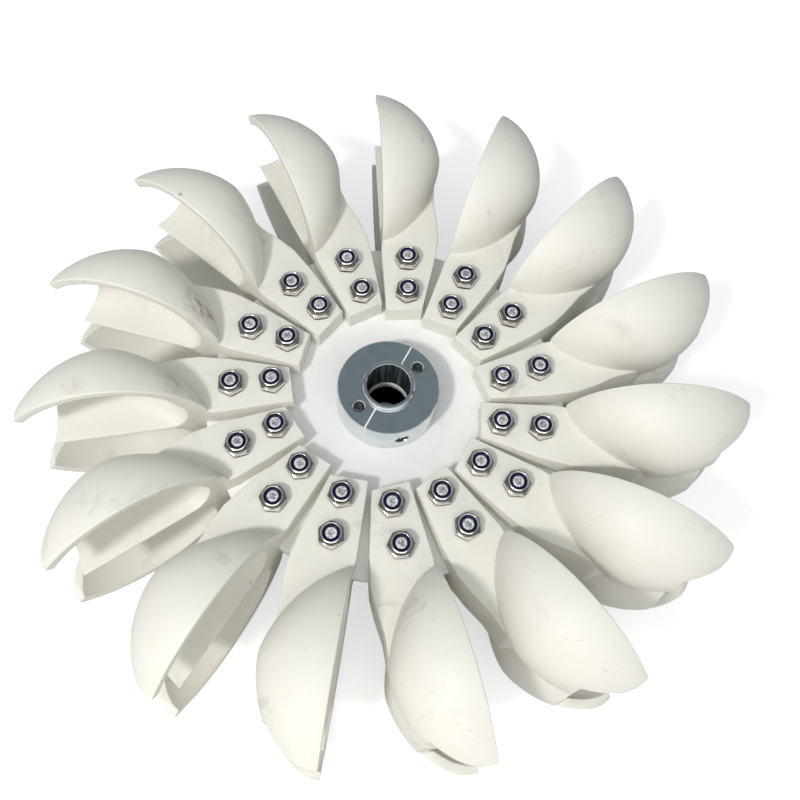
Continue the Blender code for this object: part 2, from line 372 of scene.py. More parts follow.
def spaced(first, last, count, first_ease=False, last_ease=False):
    """Stations from first to last, closer together at an eased end."""
    if not first_ease and not last_ease:
        return [first + (last - first) * i / (count - 1) for i in range(count)]
    low = -0.5 * pi if first_ease else 0.0
    high = 0.5 * pi if last_ease else 0.0
    values = [sin(low + (high - low) * i / (count - 1)) for i in range(count)]
    return [first + (last - first) * (v - values[0]) / (values[-1] - values[0]) for v in values]


def loft_stations(piece, stations):
    """Grow a filled unit outline along X through (place, centre, width, depth) stations."""
    edit(piece, choose="SELECT")
    bpy.ops.mesh.edge_face_add()
    place, centre, width, depth = stations[0]
    bpy.ops.transform.resize(value=(1.0, width, depth), center_override=(0.0, 0.0, 0.0))
    bpy.ops.transform.translate(value=(place, centre, 0.0))
    for last, (place, centre, width, depth) in zip(stations, stations[1:]):
        extrude((place - last[0], centre - last[1], 0.0))
        growth = (1.0, width / last[2], depth / last[3])
        bpy.ops.transform.resize(value=growth, center_override=(place, centre, 0.0))
    face_outwards()
    done()


def lobes_blank(sizes):
    """Both bulging lobes, open side up, in the rim's own frame: X along the rim, -Z into the bowl."""
    crest, valley = 0.46, 0.07
    # A handle of 0.5523 of the radius draws a quarter circle
    quarter = 0.5523 * (1.0 - crest)
    half = [
        ((0.93, 0.0), (0.985, 0.0), (0.994, 0.0)),
        ((1.0, -0.010), (1.0, -0.022), (1.0, -0.570)),
        ((crest + quarter, -1.0), (crest, -1.0), (0.33, -1.0)),
        ((0.20, -0.9569), (valley, -0.8706), (0.025, -0.8407)),
    ]
    knots = list(half)
    for left, middle, right in reversed(half):
        knots.append(((-right[0], right[1]), (-middle[0], middle[1]), (-left[0], left[1])))
    piece = draw_outline("lobes", knots, 14)
    edit(piece, choose="SELECT")
    bpy.ops.mesh.remove_doubles(threshold=1e-5)
    done()
    places = spaced(RIM_START, BOWL_DEEPEST, 26, first_ease=True)
    places += spaced(BOWL_DEEPEST, RIM_END, 24, last_ease=True)[1:]
    stations = [(u, 0.0, rim_half_width(u), bowl_depth(u, sizes.bowl_depth)) for u in places]
    loft_stations(piece, stations)
    return piece


def cup_cutter(sizes, side):
    """One hollow, upper or lower by the sign of side, standing above the rim plane."""
    flare, corner, top = 1.060, 0.58, 0.60
    knots = [
        ((flare, 0.20), (flare, 0.015), (1.035, 0.004)),
        ((1.0, -0.036), (1.0, -0.085), (1.0, -corner)),
        ((0.56, -1.0), (0.0, -1.0), (-0.56, -1.0)),
        ((-1.0, -corner), (-1.0, 0.0), (-1.0, 0.10)),
        ((-1.0, 0.50), (-1.0, top), (-0.50, top)),
        ((0.50, top), (flare, top), (flare, 0.50)),
    ]
    knots = [tuple((side * y, z) for y, z in knot) for knot in knots]
    piece = draw_outline("cup", knots, 12)
    root_end = CUP_ROOT + CUP_ROOT_ROUND
    places = spaced(CUP_ROOT + TOUCHING, root_end, 14, first_ease=True)
    places += spaced(root_end, LIP_START, 23)[1:]
    places += spaced(LIP_START, CUP_END, 8)[1:]
    stations = []
    for u in places:
        opening = eased(u, CUP_ROOT, CUP_ROOT_ROUND)
        outer = CUP_ROOT_SIDE + (rim_half_width(u, sizes.wall) - CUP_ROOT_SIDE) * opening
        inner = CUP_ROOT_SIDE + (sizes.splitter - CUP_ROOT_SIDE) * opening
        depth = max(bowl_depth(u, sizes.bowl_depth) - sizes.wall, 0.0004) * eased(u, CUP_ROOT, CUP_ROOT_SLOPE)
        stations.append((u, side * 0.5 * (inner + outer), 0.5 * (outer - inner), depth))
    loft_stations(piece, stations)
    # The flare dies away towards the lip
    fade_start, fade_length, fade_share = 0.0640, 0.0240, 0.65
    for vert in piece.data.vertices:
        beyond = abs(vert.co.y) - rim_half_width(vert.co.x, sizes.wall)
        if beyond > 0.0:
            faded = min(max((vert.co.x - fade_start) / fade_length, 0.0), 1.0)
            vert.co.y -= side * beyond * fade_share * faded
    return piece


def shank_blank():
    """Wedge-shaped root in the wheel's frame, its corners rounded, its flats gridded near the lobes."""

    def at(u, d):
        point = RIM_PLACE @ Vector((u, 0.0, -d))
        return point.x, point.y

    outline = [(0.0582, -0.0107), (0.0532, 0.0104), at(-0.0070, -0.0010), at(0.0050, 0.0006)]
    outline += [at(0.0450, 0.0120), at(0.0620, 0.0240)]
    outline += [(0.1490, -0.0040), (0.1350, -0.0056), (0.1220, -0.0098), (0.1106, -0.0124), (0.0930, -0.0127)]
    piece = polygon_outline("shank", [(x, y, -EAR_TOP) for x, y in outline])
    raise_solid(piece, 2.0 * EAR_TOP)

    def round_an_ear(edge):
        heights = [v.co.z for v in edge.verts]
        return min(abs(z) for z in heights) > 0.9 * EAR_TOP and heights[0] * heights[1] > 0

    pick(piece, "edges", round_an_ear)
    bevel(0.0009, 3)
    cuts = [(RIM_ALONG, at(u * 0.001, 0.0)) for u in range(-6, 42, 2)]
    cuts += [(RIM_INTO, at(0.0, d * 0.001)) for d in range(1, 36, 2)]
    for normal, (x, y) in cuts:
        select_whole()
        bpy.ops.mesh.bisect(plane_co=(x, y, 0.0), plane_no=normal)
    done()
    return piece


def soften_crease(piece, reach):
    """Blend the root's flats into the lobes along the line where they meet."""
    edit(piece)

    def on_crease(edge):
        if len(edge.link_faces) != 2 or edge.calc_face_angle_signed(0.0) >= -radians(12):
            return False
        middle = 0.5 * (edge.verts[0].co + edge.verts[1].co)
        return abs(abs(middle.z) - EAR_TOP) < 0.0002 and (RIM_INVERSE @ middle).z < -0.0004

    pick(piece, "edges", on_crease)
    bm = bmesh.from_edit_mesh(piece.data)
    crease = [v.co.copy() for v in bm.verts if v.select]
    tree = kdtree.KDTree(len(crease))
    for i, point in enumerate(crease):
        tree.insert(point, i)
    tree.balance()

    def near(point, distance):
        return tree.find(point)[2] < distance and (RIM_INVERSE @ point).z < -0.0007

    pick(piece, "faces", lambda f: any(near(v.co, 1.3 * reach) for v in f.verts) and len(f.verts) < 12)
    bpy.ops.mesh.subdivide(number_cuts=1)
    pick(piece, "verts", lambda v: near(v.co, 0.8 * reach))
    bpy.ops.mesh.vertices_smooth(factor=0.5, repeat=10)
    pick(piece, "verts", lambda v: near(v.co, 1.2 * reach))
    bpy.ops.mesh.vertices_smooth(factor=0.5, repeat=3)
    done()


def round_edges(piece, width):
    """Round the rim, the splitter and the notch, less where the plastic is thin."""

    def share(edge):
        if len(edge.link_faces) != 2 or edge.calc_face_angle_signed(0.0) < radians(35):
            return 0.0
        ends = [RIM_INVERSE @ v.co for v in edge.verts]
        middle = 0.5 * (ends[0] + ends[1])
        side = abs(middle.y)
        if middle.x < 0.0020:
            return 0.0
        if max(abs(end.z) for end in ends) < TOUCHING:
            return THIN_SHARE if side < 0.0012 else LIP_SHARE if side < 0.0030 else RIM_SHARE
        return LIP_SHARE if middle.x > 0.0740 and middle.z < -0.0010 else 0.0

    edit(piece)
    for i in range(1, 19):
        pick(piece, "faces", lambda f: all(abs((RIM_INVERSE @ v.co).z) < TOUCHING for v in f.verts))
        bpy.ops.mesh.bisect(plane_co=RIM_PLACE @ Vector((0.005 * i, 0.0, 0.0)), plane_no=RIM_ALONG)
    for level in (THIN_SHARE, LIP_SHARE, RIM_SHARE):
        if pick(piece, "edges", lambda e: abs(share(e) - level) < 0.001):
            bpy.ops.transform.edge_bevelweight(value=level)
    done()
    apply_step(piece, "BEVEL", width=width, segments=3, limit_method="WEIGHT", use_clamp_overlap=False)


def notch_cutter():
    """Slanted block that parts the two lips and ends them square to the round rim."""
    start = atan2(NOTCH_HALF, LIP_END - RIM_CENTRE)
    cosine, sine = cos(start), sin(start)
    bend = RIM_RADIUS + 0.0001 - LIP_CORNER
    side = [(NOTCH_BASE, NOTCH_HALF), (LIP_END, NOTCH_HALF)]
    for step in range(6):
        turn = 0.5 * pi * step / 5
        along, across = bend + LIP_CORNER * sin(turn), LIP_CORNER * (1.0 - cos(turn))
        side.append((RIM_CENTRE + along * cosine - across * sine, along * sine + across * cosine))
    side.append((side[-1][0] + 0.0150 * cosine, side[-1][1] + 0.0150 * sine))
    side.append((side[-1][0] + 0.0200, side[-1][1]))
    outline = [(u, -z) for u, z in side] + [(u, z) for u, z in reversed(side)]
    cutter = polygon_outline("notch", [(u, z, 0.0050) for u, z in outline])
    raise_solid(cutter, -0.0500)
    done()
    root_side = 0.5 * (NOTCH_BASE + LIP_END)
    for vert in cutter.data.vertices:
        if vert.co.x < root_side:
            vert.co.x -= NOTCH_SLANT * vert.co.z

    def in_corner(edge):
        first, second = edge.verts
        return max(first.co.x, second.co.x) < root_side and abs(first.co.y - second.co.y) < 1e-5

    edit(cutter)
    pick(cutter, "edges", in_corner)
    bevel(0.0012, 4)
    done()
    return cutter


def bucket_blank(sizes):
    """The bucket whose inner bolt lies on +X."""
    piece = lobes_blank(sizes)
    place_mesh(piece, RIM_PLACE)
    join_shape(piece, shank_blank(), "UNION")
    soften_crease(piece, sizes.crease)
    for cutter in (cup_cutter(sizes, 1.0), cup_cutter(sizes, -1.0), notch_cutter()):
        place_mesh(cutter, RIM_PLACE)
        join_shape(piece, cutter, "DIFFERENCE")
    disc_room = cylinder("disc_room", 240, DISC_HIGH.x + 0.0004, DISC_HIGH.z * 2.0 + 0.0006)
    join_shape(piece, disc_room, "DIFFERENCE")
    edit(piece, choose="SELECT")
    bpy.ops.mesh.remove_doubles(threshold=TOUCHING)
    bpy.ops.mesh.dissolve_limited(angle_limit=radians(0.05))
    select_whole()
    bpy.ops.mesh.dissolve_degenerate(threshold=TOUCHING)
    done()
    round_edges(piece, sizes.edge)
    return piece


class RUNNER_OT_buckets(bpy.types.Operator):
    """Model one bucket and set fifteen of them round the wheel"""

    bl_idname = "runner.buckets"
    bl_label = "Buckets"

    def execute(self, context):
        sizes = context.scene.runner_sizes
        piece = bucket_blank(sizes)
        material = bucket_plastic(context.scene.runner_colours)
        for i, node_name in enumerate(BUCKETS):
            turn = Matrix.Rotation(radians(90.0 - BUCKET_STEP * i), 4, "Z")
            twin = mesh_copy(piece, "moulded_" + node_name, turn)
            finish_piece(twin, 32, material, node_name)
        drop(piece)
        return {"FINISHED"}


class RUNNER_OT_disc(bpy.types.Operator):
    """Model the thin disc that carries the buckets"""

    bl_idname = "runner.disc"
    bl_label = "Disc"

    def execute(self, context):
        inner, outer, high, edge = BORE_RADIUS - 0.0002, DISC_HIGH.x, DISC_HIGH.z, 0.0003
        section = [(inner, edge - high), (inner + edge, -high), (outer - edge, -high), (outer, edge - high)]
        section += [(outer, high - edge), (outer - edge, high), (inner + edge, high), (inner, high - edge)]
        piece = turned_piece("disc_plate", section, 240)
        finish_piece(piece, 50, disc_plastic(context.scene.runner_colours), "disc")
        return {"FINISHED"}


# Hub


def clamp_axis(end):
    """Frame of a clamp screw: origin where its axis meets the collar's side, +Z outwards."""
    along = SPLIT_ANGLE - 0.5 * pi + pi * end
    across = Vector((cos(along), sin(along), 0.0))
    beside = Vector((sin(along), -cos(along), 0.0))
    reach = sqrt(COLLAR_RADIUS ** 2 - CLAMP_OFFSET ** 2)
    place = across * reach + beside * CLAMP_OFFSET
    place.z = CLAMP_HEIGHT
    return Matrix.Translation(place) @ across.to_track_quat("Z", "Y").to_matrix().to_4x4()


def collar_half(edge):
    """Front half collar on one side of the split, its pockets cut."""
    top, seat = COLLAR_HIGH.z, DISC_HIGH.z
    section = [(COLLAR_BORE, seat), (COLLAR_RADIUS - FINE_EDGE, seat), (COLLAR_RADIUS, seat + FINE_EDGE)]
    section += [(COLLAR_RADIUS, top - edge), (COLLAR_RADIUS - edge, top)]
    section += [(COLLAR_BORE + FINE_EDGE, top), (COLLAR_BORE, top - FINE_EDGE)]
    piece = turned_piece("collar", section, 144)
    edit(piece, choose="SELECT")
    gap = SPLIT_BESIDE * SPLIT_GAP
    bpy.ops.mesh.bisect(plane_co=gap, plane_no=SPLIT_BESIDE, use_fill=True, clear_inner=True)
    up = Vector((0.0, 0.0, 1.0))
    for outward, reach in ((up, top), (SPLIT_ALONG, COLLAR_RADIUS), (-SPLIT_ALONG, COLLAR_RADIUS)):
        select_whole()
        corner = outward * reach + SPLIT_BESIDE * SPLIT_CHAMFER
        bpy.ops.mesh.bisect(plane_co=corner, plane_no=outward - SPLIT_BESIDE, use_fill=True, clear_outer=True)
    face_outwards()
    done()
    mouth = Vector((SCREW_RING * cos(SCREW_LEAD), SCREW_RING * sin(SCREW_LEAD), top))
    pocket = cylinder("pocket", 48, POCKET_RADIUS, 2.0 * POCKET_DEPTH, mouth)
    join_shape(piece, pocket, "DIFFERENCE")
    bore = cylinder("clamp_pocket", 48, POCKET_RADIUS, 0.0280)
    place_mesh(bore, clamp_axis(0) @ Matrix.Translation((0.0, 0.0, 0.0100)))
    join_shape(piece, bore, "DIFFERENCE")
    edit(piece, choose="SELECT")
    bpy.ops.mesh.remove_doubles(threshold=0.00001)

    def on_mouth(rim):
        if any(abs(v.co.z - top) > 1e-5 for v in rim.verts):
            return False
        return all(abs((v.co - mouth).xy.length - POCKET_RADIUS) < 0.00005 for v in rim.verts)

    pick(piece, "edges", on_mouth)
    bevel(0.00055, 1)
    done()
    return piece


def hub_sleeve():
    """Sleeve on the front face, its end chamfered inside and out."""
    top, seat, outer_edge = SLEEVE_HIGH.z, DISC_HIGH.z, 0.0006
    section = [(BORE_RADIUS, seat), (COLLAR_BORE, seat)]
    section += [(COLLAR_BORE, top - outer_edge), (COLLAR_BORE - outer_edge, top)]
    section += [(BORE_RADIUS + FINE_EDGE, top), (BORE_RADIUS, top - FINE_EDGE)]
    return turned_piece("sleeve", section, 96)


def socket_screw(high, low):
    """Round screw head with a hexagon socket, standing on Z."""
    piece = cylinder("socket_screw", 48, 0.00275, high - low, (0.0, 0.0, 0.5 * (high + low)))
    join_shape(piece, cylinder("socket", 6, 0.00175, 0.0044, (0.0, 0.0, high)), "DIFFERENCE")

    def on_top(edge):
        flat = all(abs(v.co.z - high) < 1e-5 for v in edge.verts)
        return flat and edge.is_manifold and edge.calc_face_angle(0.0) > 0.8

    edit(piece)
    pick(piece, "edges", on_top)
    bevel(0.0003, 2, clamp=True)
    done()
    return piece


def finish_both_faces(front, name, angle, material, node_name):
    """Mirror a piece of the front face to the back one, and finish both."""
    front.name = name % "front"
    back = mesh_copy(front, name % "back", Matrix.Diagonal((1.0, 1.0, -1.0, 1.0)))
    edit(back)
    face_outwards()
    done()
    for piece, side in ((front, "front"), (back, "back")):
        finish_piece(piece, angle, material, node_name % side)


class RUNNER_OT_hub(bpy.types.Operator):
    """Model the split collars, the sleeves and their socket screws"""

    bl_idname = "runner.hub"
    bl_label = "Clamp hub"

    def execute(self, context):
        sizes, colours = context.scene.runner_sizes, context.scene.runner_colours
        steel, bright = collar_steel(colours), sleeve_steel()
        # The clamp screws, down in their side pockets, take a darker copy of the same steel as painted shade
        dark, darker = screw_steel("dark_screw", 0.14), screw_steel("darker_screw", 0.10)
        half, sleeve = collar_half(sizes.collar_edge), hub_sleeve()
        axial = socket_screw(COLLAR_HIGH.z - 0.0006, COLLAR_HIGH.z - POCKET_DEPTH + SCREW_LIFT)
        clamp = socket_screw(-0.0010, -POCKET_DEPTH + SCREW_LIFT)
        for end, letter in ((0, "a"), (1, "b")):
            turn = Matrix.Rotation(pi * end, 4, "Z")
            ring_angle = SCREW_LEAD + pi * end
            spot = Matrix.Translation((SCREW_RING * cos(ring_angle), SCREW_RING * sin(ring_angle), 0.0))
            spot = spot @ Matrix.Rotation(0.4 + end, 4, "Z")
            parts = (
                (half, "collar_%s_" + letter, turn, steel, "collar"),
                (axial, "axial_screw_%%s_%d" % (end + 1), spot, dark, "screw"),
                (clamp, "clamp_screw_%%s_%d" % (end + 1), clamp_axis(end), darker, "screw"),
            )
            for source, name, matrix, material, slot in parts:
                front = mesh_copy(source, "turned_" + name % "front", matrix)
                finish_both_faces(front, "turned_" + name, 30, material, "hub_" + name)
        finish_both_faces(sleeve, "turned_sleeve_%s", 25, bright, "bore_sleeve_%s")
        for source in (half, axial, clamp):
            drop(source)
        return {"FINISHED"}


# Bolts and lock nuts


def chamfered_hexagon(name, width, low, high):
    """Hexagon prism whose corners are turned down at both ends."""
    corner = width / sqrt(3.0)
    piece = cylinder(name, 6, corner, high - low, (0.0, 0.0, 0.5 * (high + low)))
    face, wide = 0.5 * width * NUT_FACE, corner * 1.05
    drop = (wide - face) * NUT_CHAMFER
    section = [(0.0, low), (face, low), (wide, low + drop), (wide, high - drop), (face, high), (0.0, high)]
    join_shape(piece, turned_piece("turning", section, 96), "INTERSECT")
    return piece


def lock_nut(sizes):
    """Hexagon nut standing on z = 0, with the turned collar that holds its ring."""
    scale = sizes.nut_height / NUT_HEIGHT
    piece = chamfered_hexagon("lock_nut", sizes.nut_width, 0.0, HEXAGON_HIGH * scale)
    profile = [(0.0030, 0.0040), (0.00650, 0.0040), (0.00650, 0.0052), (0.00648, 0.0062), (0.00640, 0.0070)]
    profile += [(0.00622, 0.0074), (0.00590, 0.0077), (0.00550, 0.0079), (0.00520, 0.0080), (0.00498, 0.0079)]
    profile += [(0.00482, 0.0076), (0.00478, 0.0060), (0.0030, 0.0060)]
    collar = turned_piece("nut_collar", [(radius, z * scale) for radius, z in profile], 64)
    join_shape(piece, collar, "UNION")
    bore = [(0.0, -0.001), (0.0046, -0.001), (0.0040, 0.0006), (0.0040, 0.0100), (0.0, 0.0100)]
    join_shape(piece, turned_piece("nut_bore", bore, 48), "DIFFERENCE")
    return piece


def lock_ring(sizes):
    """Plastic ring held inside the nut's collar, gripping the bolt."""
    high = 0.0075 * sizes.nut_height / NUT_HEIGHT
    section = [(0.00400, high - 0.0013), (0.00474, high - 0.0013), (0.00474, high), (0.00430, high + 0.0001)]
    section += [(0.00365, high - 0.0001), (0.00330, high - 0.0004), (0.00325, high - 0.0008)]
    return turned_piece("lock_ring", section, 64)


def hexagon_bolt(sizes):
    """Bolt whose head hangs below z = 0 and whose threaded end stands just proud of its nut."""
    below, above = -2.0 * EAR_TOP, sizes.nut_height - 0.0006
    head = below - sizes.head_height
    piece = chamfered_hexagon("bolt", sizes.nut_width, head, below - 0.0003)
    section = [(0.0, head + 0.0005), (0.0060, below - 0.0010), (0.0060, below), (0.0040, below)]
    section += [(0.0040, above - 0.0016), (0.00322, above - 0.0006), (0.00312, above - 0.0002)]
    section += [(0.00285, above), (0.0, above)]
    join_shape(piece, turned_piece("bolt_shank", section, 48), "UNION")
    edit(piece)

    def head_edge(edge):
        low_end = max(v.co.z for v in edge.verts) < head + 0.0001
        return low_end and edge.is_manifold and edge.calc_face_angle(0.0) > 0.3

    pick(piece, "edges", head_edge)
    bevel(0.0001, 1, clamp=True)
    done()
    return piece


class RUNNER_OT_fasteners(bpy.types.Operator):
    """Model one bolt with its lock nut and fit two to each bucket"""

    bl_idname = "runner.fasteners"
    bl_label = "Bolts and lock nuts"

    def execute(self, context):
        sizes, colours = context.scene.runner_sizes, context.scene.runner_colours
        sources = (
            (lock_nut(sizes), "lock_nut_%02d", nut_steel(colours), "fastener", 40),
            (lock_ring(sizes), "lock_ring_%02d", ring_plastic(colours), "lock_ring", 40),
            (hexagon_bolt(sizes), "bolt_%02d", bolt_steel(colours), "fastener", 35),
        )
        for source, *_ in sources:
            remember_place(source)
        for i in range(2 * len(BUCKETS)):
            bucket, outer = i // 2, i % 2
            angle = radians(90.0 - BUCKET_STEP * bucket) + OUTER_BOLT_LEAD * outer
            reach = OUTER_BOLT_CIRCLE if outer else INNER_BOLT_CIRCLE
            place = Matrix.Translation((reach * cos(angle), reach * sin(angle), EAR_TOP))
            for turn, (source, name, material, slot, shading) in zip((37.0, 0.0, 23.0), sources):
                matrix = place @ Matrix.Rotation(radians(turn * i * i % 60.0), 4, "Z")
                finish_piece(mesh_copy(source, name % (i + 1), matrix), shading, material)
        for source, *_ in sources:
            drop(source)
        return {"FINISHED"}


# Finishes


def add_node(tree, kind, inputs=None, **settings):
    """Node with its settings, its inputs given as values or as sockets to link."""
    item = tree.nodes.new("ShaderNode" + kind)
    for key, value in settings.items():
        setattr(item, key, value)
    for key, value in (inputs or {}).items():
        if isinstance(value, bpy.types.NodeSocket):
            tree.links.new(value, item.inputs[key])
        else:
            item.inputs[key].default_value = value
    return item


def lead(tree, node, **outputs):
    """Lead outputs into the node's inputs of these names."""
    for key, output in outputs.items():
        tree.links.new(output, node.inputs[key.replace("_", " ").title()])


def new_finish(name, colour, roughness, metallic):
    material = bpy.data.materials.new(name)
    material.use_nodes = True
    material.diffuse_color = (*colour, 1.0)
    shader = material.node_tree.nodes["Principled BSDF"]
    shader.inputs["Base Color"].default_value = (*colour, 1.0)
    shader.inputs["Roughness"].default_value = roughness
    shader.inputs["Metallic"].default_value = metallic
    return material, material.node_tree, shader


def blend(tree, share, first, second):
    """Output of a colour mix; each colour is a value or a socket."""
    ends = [end if isinstance(end, bpy.types.NodeSocket) else (*end, 1.0) for end in (first, second)]
    return add_node(tree, "Mix", {0: share, 6: ends[0], 7: ends[1]}, data_type="RGBA").outputs[2]


def spread(tree, value, low, high, to_low=0.0, to_high=1.0):
    """Output of a smooth remap of a value."""
    inputs = {0: value, 1: low, 2: high, 3: to_low, 4: to_high}
    return add_node(tree, "MapRange", inputs, interpolation_type="SMOOTHSTEP").outputs[0]


def reckon(tree, kind, first, second=0.0):
    return add_node(tree, "Math", {0: first, 1: second}, operation=kind).outputs[0]


def product(tree, first, second):
    return reckon(tree, "MULTIPLY", first, second)


def band(tree, value, centre, half):
    """1 at the centre of a narrow band of a value, 0 outside it."""
    away = reckon(tree, "ABSOLUTE", reckon(tree, "SUBTRACT", value, centre))
    return spread(tree, away, 0.4 * half, half, 1.0, 0.0)


def vector_number(tree, kind, first, second=(0.0, 0.0, 0.0)):
    """A vector's length, or its distance or dot product with a second one."""
    return add_node(tree, "VectorMath", {0: first, 1: second}, operation=kind).outputs["Value"]


def speckle(tree, place, scale, detail=2.0, roughness=0.5, distortion=0.0):
    """Noise value over the surface."""
    inputs = {"Vector": place, "Scale": scale, "Detail": detail, "Roughness": roughness, "Distortion": distortion}
    return add_node(tree, "TexNoise", inputs).outputs["Fac"]


def stretched(tree, place, scale, turn=(0.0, 0.0, 0.0)):
    inputs = {"Vector": place, "Rotation": turn, "Scale": scale}
    return add_node(tree, "Mapping", inputs).outputs[0]


def wheel_place(tree):
    """Place on the wheel, in metres from its centre."""
    return add_node(tree, "TexCoord").outputs["Object"]


def own_place(tree):
    """Place on a fastener before it was turned and copied."""
    return add_node(tree, "Attribute", attribute_name="own_place").outputs["Vector"]


def height_of(tree, place):
    return add_node(tree, "SeparateXYZ", {0: place}).outputs[2]


def lathe_measures(tree, place):
    """Radius and height of a place on a turned part."""
    inputs = {0: place, 1: (1.0, 1.0, 0.0)}
    flat = add_node(tree, "VectorMath", inputs, operation="MULTIPLY").outputs[0]
    return vector_number(tree, "LENGTH", flat), height_of(tree, place)


def ripple(tree, height, distance):
    """Normal of a surface that rises by the height times the distance."""
    inputs = {"Strength": 1.0, "Distance": distance, "Height": height}
    return add_node(tree, "Bump", inputs).outputs["Normal"]


def seen_directly(tree):
    return add_node(tree, "LightPath").outputs["Is Camera Ray"]


def new_marks(name, inputs):
    """Node group with these inputs, which puts out a colour, a roughness and a height."""
    group = bpy.data.node_groups.new(name, "ShaderNodeTree")
    for socket_name, default in inputs.items():
        kind = "Vector" if default is None else "Color" if isinstance(default, tuple) else "Float"
        socket = group.interface.new_socket(name=socket_name, in_out="INPUT", socket_type="NodeSocket" + kind)
        if default is not None:
            socket.default_value = (*default, 1.0) if kind == "Color" else default
    for socket_name, kind in (("Color", "Color"), ("Roughness", "Float"), ("Height", "Float")):
        group.interface.new_socket(name=socket_name, in_out="OUTPUT", socket_type="NodeSocket" + kind)
    return group, group.nodes.new("NodeGroupInput").outputs, group.nodes.new("NodeGroupOutput")


def use_marks(tree, shader, name, build, bump, **values):
    """Lead a group of marks, with a material's own values, into its shader; gives the marks' colour."""
    item = tree.nodes.new("ShaderNodeGroup")
    item.node_tree = bpy.data.node_groups.get(name) or build(name)
    for key, value in values.items():
        socket = item.inputs[key.replace("_", " ").capitalize()]
        if isinstance(value, bpy.types.NodeSocket):
            tree.links.new(value, socket)
        else:
            socket.default_value = (*value, 1.0) if socket.type == "RGBA" else value
    color, roughness, height = item.outputs
    lead(tree, shader, base_color=color, roughness=roughness, normal=ripple(tree, height, bump))
    return color


def moulding_group(name):
    """Marks of moulded plastic: cloudy tone, grey smudges, brown scuffs, dark specks and sink marks."""
    tree, given, result = new_marks(name, {
        "Base": (0.8, 0.8, 0.8), "Smudge": (0.4, 0.38, 0.35), "Scuff": (0.35, 0.24, 0.15),
        "Smudge amount": 0.2, "Speck amount": 0.5, "Scuff amount": 0.3, "Gloss roughness": 0.35})
    place = wheel_place(tree)
    cloud = speckle(tree, place, 22.0, 3.0, 0.55)
    fine = speckle(tree, place, 260.0, 2.0, 0.6)
    tone = blend(tree, spread(tree, cloud, 0.35, 0.70, 0.0, 0.10), given["Base"], (0.62, 0.60, 0.57))
    tone = blend(tree, spread(tree, fine, 0.45, 0.75, 0.0, 0.05), tone, (0.55, 0.52, 0.47))
    dirt = spread(tree, speckle(tree, place, 46.0, 5.0, 0.62, 0.8), 0.56, 0.74)
    dirt = product(tree, dirt, spread(tree, cloud, 0.42, 0.60))
    tone = blend(tree, product(tree, dirt, given["Smudge amount"]), tone, given["Smudge"])
    scratch = stretched(tree, place, (1.0, 5.0, 1.0), (0.3, 0.5, 0.7))
    scuff = spread(tree, speckle(tree, scratch, 90.0, 6.0, 0.7, 1.2), 0.62, 0.72)
    scuff = product(tree, scuff, spread(tree, speckle(tree, place, 11.0), 0.52, 0.64))
    tone = blend(tree, product(tree, scuff, given["Scuff amount"]), tone, given["Scuff"])
    cells = add_node(tree, "TexVoronoi", {"Vector": place, "Scale": 95.0}).outputs
    lot = add_node(tree, "SeparateColor", {0: cells["Color"]}).outputs[0]
    speck = spread(tree, cells["Distance"], 0.028, 0.052, 1.0, 0.0)
    speck = product(tree, speck, reckon(tree, "GREATER_THAN", lot, 0.90))
    tone = blend(tree, product(tree, speck, given["Speck amount"]), tone, (0.09, 0.07, 0.055))
    rough = reckon(tree, "ADD", given["Gloss roughness"], spread(tree, cloud, 0.30, 0.72, -0.06, 0.09))
    rough = reckon(tree, "ADD", rough, product(tree, dirt, 0.25))
    grain = product(tree, speckle(tree, place, 900.0, 2.0, 0.6), 0.10)
    height = reckon(tree, "ADD", speckle(tree, place, 55.0, 1.0), grain)
    lead(tree, result, color=tone, roughness=rough, height=height)
    return tree


def machining_group(name):
    """Marks of turned steel: rings round the axis, faint mottling and a few handling stains."""
    tree, given, result = new_marks(name, {
        "Base": (0.6, 0.6, 0.6), "Stain": (0.3, 0.3, 0.35), "Stain amount": 0.3,
        "Ring pitch": 3000.0, "Gloss roughness": 0.25, "Turned place": None})
    place = wheel_place(tree)
    radius, height = lathe_measures(tree, given["Turned place"])
    lathe = add_node(tree, "CombineXYZ", {0: radius, 1: height}).outputs[0]
    rings = speckle(tree, lathe, given["Ring pitch"], 3.0, 0.7)
    mottle = speckle(tree, place, 420.0, 4.0, 0.65, 0.4)
    cloud = speckle(tree, place, 70.0, 3.0, 0.6, 0.5)
    stained = product(tree, spread(tree, cloud, 0.40, 0.70), given["Stain amount"])
    tone = blend(tree, stained, given["Base"], given["Stain"])
    tone = blend(tree, spread(tree, mottle, 0.35, 0.75, 0.0, 0.08), tone, given["Stain"])
    tone = blend(tree, spread(tree, rings, 0.35, 0.70, 0.0, 0.12), tone, given["Stain"])
    rough = reckon(tree, "ADD", given["Gloss roughness"], spread(tree, mottle, 0.30, 0.75, -0.03, 0.05))
    rough = reckon(tree, "ADD", rough, spread(tree, rings, 0.30, 0.75, -0.02, 0.04))
    grooves = reckon(tree, "ADD", rings, product(tree, mottle, 0.6))
    lead(tree, result, color=tone, roughness=rough, height=grooves)
    return tree


def moulded_finish(name, colour, roughness, bump, **values):
    """Plastic with the marks of its mould."""
    material, tree, shader = new_finish(name, colour, roughness, 0.0)
    tone = use_marks(tree, shader, "moulding_marks", moulding_group, bump, base=colour, **values)
    shader.inputs["Specular IOR Level"].default_value = 0.32
    return material, tree, shader, tone


def machined_finish(name, colour, roughness, bump, place_of=wheel_place, **values):
    """Steel with the marks of its machining, their rings on the place that place_of gives."""
    material, tree, shader = new_finish(name, colour, roughness, 1.0)
    place = place_of(tree)
    values = {"base": colour, "turned_place": place, **values}
    tone = use_marks(tree, shader, "machining_marks", machining_group, bump, **values)
    return material, tree, shader, place, tone


